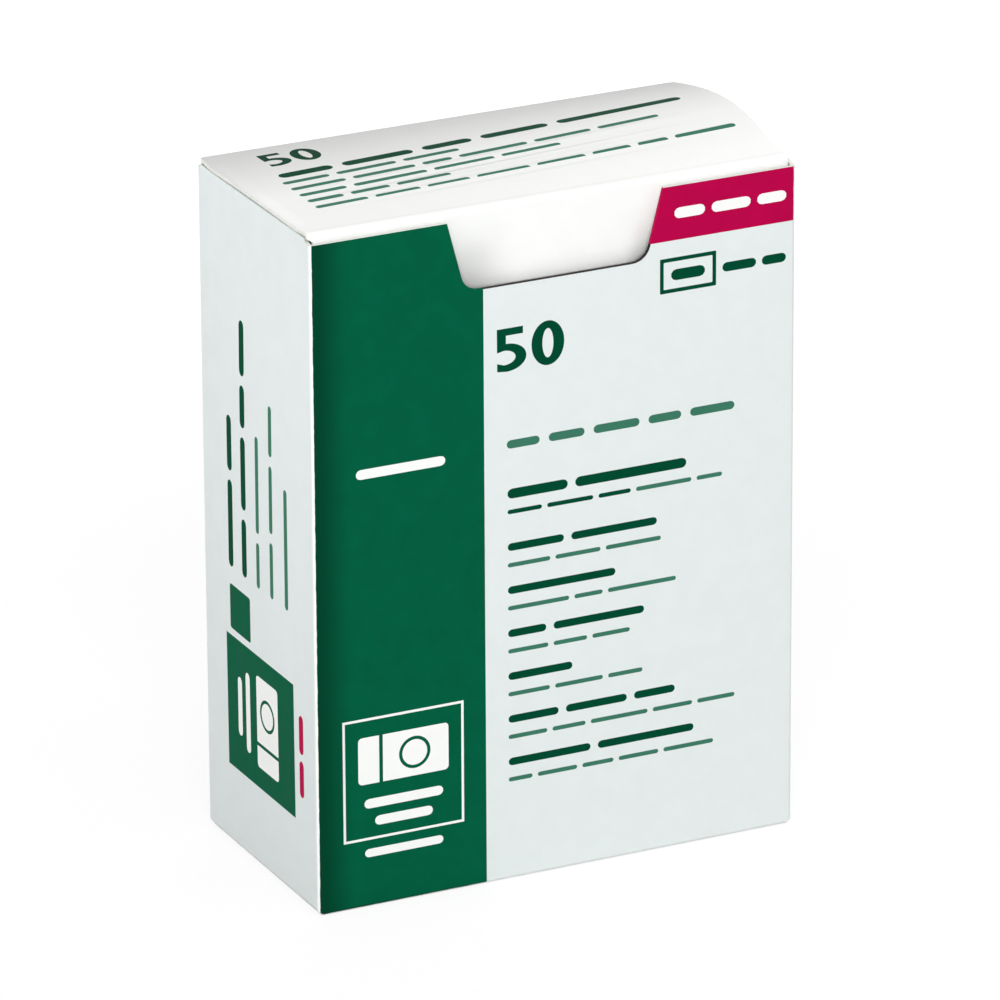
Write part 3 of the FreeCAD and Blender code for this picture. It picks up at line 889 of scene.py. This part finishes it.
def make_lid():
    """The lid panel, its front fold and the tuck flap, one sheet of board."""
    side, tuck, tip = LID_SIDE, LID_SIDE - TUCK_INSET, LID_CHORD + NOSE_ARC + TUCK_ARC
    corner = oval((tuck - TUCK_CORNER, tip - TUCK_CORNER), TUCK_CORNER, TUCK_CORNER, 0, 90, 14)
    outline = [(LID_LEFT, CORNER_CUT), (-side, 0.0), (side - RELIEF, 0.0),
               (side - LID_TAPER, LID_CHORD - TAPER_END), (tuck, LID_CHORD + ROOT_STEP), (tuck, SHOULDER)]
    outline += corner + [(-x, w) for x, w in reversed(corner)]
    outline += [(-tuck, SHOULDER + RELIEF), (LID_LEFT, SHOULDER - LEFT_SHOULDER)]
    heights = steps_of(LID_CHORD, NOSE_ARC, BEND_STEPS) + steps_of(0.0, LID_CHORD, 28)[1:-1]
    heights += [LID_CHORD - CREASE_LINE, LID_CHORD - CREASE_LINE / 2] + steps_of(tip, -TUCK_ARC, 8)[1:-1]
    scores = level(LID_LEFT, side, heights)
    # upright lines where the left edge curls, and down the flap where it dents, swells and carries its
    # painted shade
    scores += upright([LID_LEFT + x for x in (0.4, 0.8, 1.2, CURL_WIDTH)], 0.0, LID_CHORD)
    scores += upright((SHADE_LEFT, -15.4, -13.8, -12.2, -10.8, -9.6, -8.3, -7.0, -5.7, SHADE_RIGHT,
                       9.0, 10.1, 11.2, 12.3, 13.4), SHOULDER, tip)
    blank = turned_over(cut_blank(outline, lid_prints(), scores, LID_PITCH, WHITE))

    def wear(x, w):
        return max(0.0, NOSE_WEAR - abs(w - LID_CHORD - NOSE_ARC / 2) / NOSE_ARC)

    # painted shade: darker towards the panel's back, a faint line along the front crease, and a soft patch on
    # the flap's lower left
    def tone(x, w):
        crease = max(0.0, 1 - abs(w - LID_CHORD + CREASE_LINE / 2) / (CREASE_LINE / 2))
        if w > LID_CHORD + NOSE_ARC:
            beside = ease((SHADE_RIGHT - x) / RIGHT_EASE) * ease((x - SHADE_LEFT) / LEFT_EASE)
            return SHADE * ease((w - SHOULDER - SHADE_TOP) / TOP_EASE) * beside
        return PANEL_SHADE * max(0.0, 1 - w / (PANEL_SHARE * LID_CHORD)) + LINE_SHADE * crease
    return fold_up("lid_board", blank, lid_place, wear, tone)


def make_crease():
    """The crease between the back wall and the lid: a strip of board curved round the fold."""
    left, right = -HALF_WIDTH + FOLD, SEAM_FACE - FOLD
    scores = level(left, right, steps_of(0.0, FOLD_ARC, 8)[1:-1])
    blank = turned_over(cut_blank(box_shape(left, right, 0.0, FOLD_ARC), [], scores, LID_PITCH, WHITE))

    def place(x, w, depth):
        angle = w / FOLD
        reach = FOLD - depth
        return Vector((x, BACK_CREASE + reach * math.cos(angle), BOX_TOP - FOLD + reach * math.sin(angle)))

    def wear(x, w):
        return CREASE_WEAR - CREASE_FADE * abs(w - FOLD_ARC / 2) / FOLD_ARC
    # the whole strip is darkened by painted shade, as at the back of the lid panel
    return fold_up("lid_crease", blank, place, wear, lambda x, w: 1.0, rigid=False)


# ------------------------ the cellophane round the slides
WRAP_CRINKLE = 7.0  # a crinkle in the film's sides, about this long
FOLD_CRINKLE = 4.0  # and one in its end folds
TUCK_SHARE = 0.8  # the two end tucks are this much shallower than the long folds over them


def inner_skin(tree, sheet, film):
    """The film's inner face: the same surface one film thickness further in, and turned over."""
    normal = add(tree, "GeometryNodeInputNormal")
    back = add(tree, VECTOR, {"operation": "SCALE", 0: (-1, -1, -1)}, {"Scale": film})
    inward = add(tree, VECTOR, TIMES, {0: normal, 1: back})
    inner = add(tree, MOVED, None, {"Geometry": sheet, "Offset": inward})
    return add(tree, "GeometryNodeFlipFaces", None, {"Mesh": inner})


def crumple(tree, place, seed, size_mm):
    """Sharp ridges and flat valleys, 0 to 1 on each axis."""
    shifted = add(tree, VECTOR, PLUS, {0: place, 1: seed})
    noisy = add(tree, NOISE, {"Scale": per_metre(size_mm), "Detail": 2.0}, {"Vector": shifted})
    signed = add(tree, VECTOR, {**TIMES_PLUS, 1: (2, 2, 2), 2: (-1, -1, -1)}, {0: noisy.outputs["Color"]})
    valley = add(tree, VECTOR, {"operation": "ABSOLUTE"}, {0: signed})
    ridge = add(tree, VECTOR, {**TIMES_PLUS, 1: (-4, -4, -4), 2: (1, 1, 1)}, {0: valley})
    return add(tree, VECTOR, {"operation": "MAXIMUM", 1: (0, 0, 0)}, {0: ridge})


def crinkled_block(tree, given, place, size, middle):
    """The overwrap's skin: a block that crinkles outwards, by an amount of its own for each side."""
    fine = {"Vertices X": 70, "Vertices Y": 34, "Vertices Z": 90}
    block = add(tree, "GeometryNodeMeshCube", fine, {"Size": size})
    block = add(tree, MOVED, None, {"Geometry": block, "Offset": middle})
    off_middle = add(tree, VECTOR, MINUS, {0: place, 1: middle})
    share = add(tree, VECTOR, {"operation": "DIVIDE"}, {0: off_middle, 1: size})
    # from -1 on a low face to 1 on a high one, and nothing between
    doubled = add(tree, VECTOR, {**TIMES, 1: (2, 2, 2)}, {0: share})
    side = add(tree, VECTOR, {"operation": "POWER", 1: (31, 31, 31)}, {0: doubled})
    between = add(tree, VECTOR, {**PLUS, 1: (0.5, 0.5, 0.5)}, {0: share})
    spread = add(tree, VECTOR, MINUS, {0: given["High Crinkle"], 1: given["Low Crinkle"]})
    amount = add(tree, VECTOR, TIMES_PLUS, {0: spread, 1: between, 2: given["Low Crinkle"]})
    ridges = crumple(tree, place, given["Seed"], WRAP_CRINKLE)
    height = add(tree, VECTOR, TIMES, {0: ridges, 1: amount})
    offset = add(tree, VECTOR, TIMES, {0: side, 1: height})
    return add(tree, MOVED, None, {"Geometry": block, "Offset": offset})


def end_fold(tree, given, place, extent, home, layer, turn, root, away):
    """One folded end: a tapered flap of film that lies on the block's top, hinged at one side of it."""
    fine = {"Size X": 1.0, "Size Y": 1.0, "Vertices X": 44, "Vertices Y": 18}
    grid = add(tree, "GeometryNodeMeshGrid", fine)
    across, along, _ = add(tree, SPLIT, None, {0: place}).outputs
    along = add(tree, NUMBER, {**PLUS, 1: 0.5}, {0: along})
    depth = add(tree, NUMBER, TIMES, {0: along, 1: given["Fold Depth"]})
    if root == "Y":
        depth = add(tree, NUMBER, {**TIMES, 1: TUCK_SHARE}, {0: depth})
    taper = add(tree, NUMBER, {**TIMES, 1: 2.0}, {0: depth})
    wide = add(tree, NUMBER, MINUS, {0: extent[root], 1: taper})
    start = add(tree, NUMBER, {**TIMES, 1: -0.5}, {0: extent[away]})
    flat_x = add(tree, NUMBER, TIMES, {0: across, 1: wide})
    flat_y = add(tree, NUMBER, PLUS, {0: start, 1: depth})
    flat = add(tree, JOINED, None, {0: flat_x, 1: flat_y})
    # the two tucks lie one gap up and each fold one more; a free end curls and ripples a little
    plies = float(max(layer, 1))
    lift = add(tree, NUMBER, {**TIMES, 1: plies}, {0: given["Fold Gap"]})
    curl = add(tree, NUMBER, {"operation": "POWER", 1: 3.0}, {0: along})
    curl = add(tree, NUMBER, TIMES, {0: curl, 1: given["Fold Gap"]})
    ridges = crumple(tree, flat, given["Seed"], FOLD_CRINKLE + layer)
    ripple = add(tree, SPLIT, None, {0: ridges}).outputs["Z"]
    for factor in (along, given["Fold Gap"]):
        ripple = add(tree, NUMBER, TIMES, {0: ripple, 1: factor})
    for extra in (curl, ripple):
        lift = add(tree, NUMBER, PLUS, {0: lift, 1: extra})
    raised = add(tree, JOINED, None, {2: lift})
    spot = add(tree, VECTOR, PLUS, {0: flat, 1: raised})
    sheet = add(tree, MOVED, None, {"Geometry": grid, "Position": spot})
    sheet = add(tree, "GeometryNodeTransform", {"Rotation": (0.0, 0.0, turn)},
                {"Geometry": sheet, "Translation": home})
    thick = add(tree, "GeometryNodeExtrudeMesh", {"Individual": False},
                {"Mesh": sheet, "Offset Scale": given["Film"]})
    under = add(tree, "GeometryNodeFlipFaces", None, {"Mesh": sheet})
    both = add(tree, "GeometryNodeJoinGeometry", None, {0: [thick, under]})
    return add(tree, "GeometryNodeMergeByDistance", {"Distance": 0.002 * MM}, {"Geometry": both})


def wrap_tree():
    """Geometry Nodes for the overwrap: a crinkled skin round the block, and its end folds on top."""
    tree = bpy.data.node_groups.new("cellophane_wrap", "GeometryNodeTree")
    for name in ("Low", "High", "Low Crinkle", "High Crinkle", "Seed"):
        tree.interface.new_socket(name, in_out="INPUT", socket_type="NodeSocketVector")
    for name in ("Film", "Fold Depth", "Fold Gap"):
        tree.interface.new_socket(name, in_out="INPUT", socket_type="NodeSocketFloat")
    tree.interface.new_socket("Geometry", in_out="OUTPUT", socket_type="NodeSocketGeometry")
    given = tree.nodes.new("NodeGroupInput").outputs
    size = add(tree, VECTOR, MINUS, {0: given["High"], 1: given["Low"]})
    middle = add(tree, VECTOR, PLUS, {0: given["High"], 1: given["Low"]})
    middle = add(tree, VECTOR, {**TIMES, 1: (0.5, 0.5, 0.5)}, {0: middle})
    place = add(tree, "GeometryNodeInputPosition")
    skin = crinkled_block(tree, given, place, size, middle)
    sheets = [skin, inner_skin(tree, skin, given["Film"])]

    extent = add(tree, SPLIT, None, {0: size}).outputs
    centre = add(tree, SPLIT, None, {0: middle}).outputs
    top = add(tree, SPLIT, None, {0: given["High"]}).outputs["Z"]
    home = add(tree, JOINED, None, {0: centre["X"], 1: centre["Y"], 2: top})
    # two end tucks first, then the back fold and the front fold over them
    folds = ((QUARTER, "Y", "X"), (-QUARTER, "Y", "X"), (math.pi, "X", "Y"), (0.0, "X", "Y"))
    for layer, (turn, root, away) in enumerate(folds):
        sheets.append(end_fold(tree, given, place, extent, home, layer, turn, root, away))
    joined = add(tree, "GeometryNodeJoinGeometry", None, {0: sheets})
    real = add(tree, "GeometryNodeRealizeInstances", None, {"Geometry": joined})
    clad = add(tree, "GeometryNodeSetMaterial", {"Material": CELLOPHANE}, {"Geometry": real})
    add(tree, "NodeGroupOutput", None, {0: clad})
    return tree


def grown(name, tree, values):
    """The plain mesh that a Geometry Nodes tree makes from these inputs."""
    seed = plain_mesh(name + "_seed", [(0, 0, 0)], [])
    nodes = seed.modifiers.new("grow", "NODES")
    nodes.node_group = tree
    for item in tree.interface.items_tree:
        if item.item_type == "SOCKET" and item.in_out == "INPUT":
            nodes[item.identifier] = values[item.name]
    data = bpy.data.meshes.new_from_object(seed.evaluated_get(bpy.context.evaluated_depsgraph_get()))
    bpy.data.objects.remove(seed)
    data.name = name
    return stood(name, data)


def make_wrap():
    """The film round the fifty slides; it stays flat where it rests on the floor and the back wall."""
    # the film stands a hair clear of the floor
    snug = Vector((0.0, 0.0, 0.006))
    values = {"Low": (FILM_LOW + snug) * MM, "High": FILM_HIGH * MM, "Seed": Vector((0.13, 0.47, 0.29)),
              "Low Crinkle": Vector((0.35, 0.13, 0.0)) * MM, "High Crinkle": Vector((0.35, 0.05, 0.25)) * MM,
              "Film": 0.028 * MM, "Fold Depth": 15.0 * MM, "Fold Gap": 0.28 * MM}
    made = grown("cellophane_wrap", wrap_tree(), values)
    smooth(made, 50)
    # so thin a film hardly dims what is under it
    made.visible_shadow = False
    return made


sleeve = make_sleeve()
lid = make_lid()
crease = make_crease()
wrap = make_wrap()
for name, node in frame["nodes"].items():
    if name.startswith("slide_"):
        node.material_slots[0].material = SLIDE_GLASS

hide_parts("carton")
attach(sleeve, "carton")
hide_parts("lid")
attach(lid, "lid")
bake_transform(crease)
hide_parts("film_wrap")
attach(wrap, "carton")

# ------------------------ floor, light, camera
WHITE_LIGHT = (1, 1, 1, 1)
SKY_FILL = 0.47  # the sky's strength on the object; it looks white at a strength of 1
FLOOR_REACH = 4.0  # half the floor's width, in metres
PAPER_GRAIN = 40.0  # a soft patch of the paper's unevenness
FADE_START, FADE_END = 70.0, 330.0  # the paper fades to the sky's white between these distances
PAPER_LIFT, PAPER_GLOW = 0.72, 1.16  # how far it is lifted beside the object, and towards what


def make_studio():
    """A plain white floor under a white sky."""
    world = bpy.data.worlds.new("studio")
    bpy.context.scene.world = world
    world.use_nodes = True
    tree = world.node_tree
    tree.nodes.clear()
    ray = add(tree, "ShaderNodeLightPath").outputs
    seen = add(tree, NUMBER, {"operation": "MAXIMUM"}, {0: ray["Is Camera Ray"], 1: ray["Is Glossy Ray"]})
    seen = add(tree, NUMBER, {"operation": "MAXIMUM"}, {0: seen, 1: ray["Is Transmission Ray"]})
    fill = add(tree, "ShaderNodeBackground", {"Color": WHITE_LIGHT, "Strength": SKY_FILL})
    sky = add(tree, "ShaderNodeBackground", {"Color": WHITE_LIGHT, "Strength": 1.0})
    mix = add(tree, "ShaderNodeMixShader", None, {0: seen, 1: fill, 2: sky})
    add(tree, "ShaderNodeOutputWorld", None, {0: mix})

    paper, tree = new_material("white_paper_sweep")
    ray = add(tree, "ShaderNodeLightPath").outputs
    place = add(tree, "ShaderNodeTexCoord").outputs["Object"]
    grain = add(tree, NOISE, {"Scale": per_metre(PAPER_GRAIN)}, {"Vector": place})
    tone = add(tree, MIX, {**INKS, 6: colour("#CFCFCF"), 7: colour("#D5D5D5")}, {0: grain}).outputs[2]
    plain = add(tree, "ShaderNodeBsdfDiffuse", None, {"Color": tone})
    glow = add(tree, "ShaderNodeEmission", {"Color": WHITE_LIGHT, "Strength": PAPER_GLOW})
    # away from the object the paper fades into the same white as the sky
    away = add(tree, VECTOR, {"operation": "LENGTH"}, {0: place}).outputs["Value"]
    fade = {"From Min": FADE_START * MM, "From Max": FADE_END * MM, "To Min": PAPER_LIFT}
    faded = add(tree, RANGE, {**EASED, **fade}, {"Value": away})
    lifted = add(tree, "ShaderNodeMixShader", None, {0: faded, 1: plain, 2: glow})
    mix = add(tree, "ShaderNodeMixShader", None, {0: ray["Is Camera Ray"], 1: plain, 2: lifted})
    add(tree, "ShaderNodeOutputMaterial", None, {0: mix})
    corners = [(x, y, 0) for x, y in box_shape(-FLOOR_REACH, FLOOR_REACH, -FLOOR_REACH, FLOOR_REACH)]
    floor = plain_mesh("floor", corners, [(0, 1, 2, 3)])
    floor.data.materials.append(paper)


def lamp(name, place, target, size, power, spread=180, mirrored=True):
    """A square soft lamp aimed at a point; places in millimetres, spread in degrees."""
    light = bpy.data.lights.new(name, "AREA")
    light.size, light.energy, light.spread = size * MM, power, math.radians(spread)
    made = stood(name, light)
    made.visible_glossy = mirrored
    made.location = Vector(place) * MM
    made.rotation_euler = (Vector(target) - Vector(place)).to_track_quat("-Z", "Y").to_euler()


def make_camera():
    """A long lens from the front left, a little above."""
    turn, lift, roll = (math.radians(angle) for angle in (-25.84, 21.13, -0.33))
    target, distance = Vector((0.21, 0, 39.60)), 1000.0
    back = Vector((math.sin(turn) * math.cos(lift), -math.cos(turn) * math.cos(lift), math.sin(lift)))
    data = bpy.data.cameras.new("camera")
    data.sensor_width, data.lens = 36.0, 319.1
    data.clip_start, data.clip_end = 0.01, 100.0
    made = stood("camera", data)
    made.rotation_mode = "QUATERNION"
    facing = (-back).to_track_quat("-Z", "Y").to_matrix() @ Matrix.Rotation(roll, 3, "Z")
    made.rotation_quaternion = facing.to_quaternion()
    made.location = (target + back * distance) * MM
    bpy.context.scene.camera = made


make_studio()
lamp("key", (-340, -790, 370), (0, 0, 24), 380, 4.42)
lamp("back_fill", (420, 620, 260), (0, 0, 40), 420, 1.5, mirrored=False)
lamp("top_lamp", (40, -160, 640), (0, 0, 80), 260, 0.86)
lamp("left_lamp", (-300, 10, 70), (-30, 0, 100), 110, 0.033, spread=60)
make_camera()
bpy.context.scene.view_settings.view_transform = "Standard"
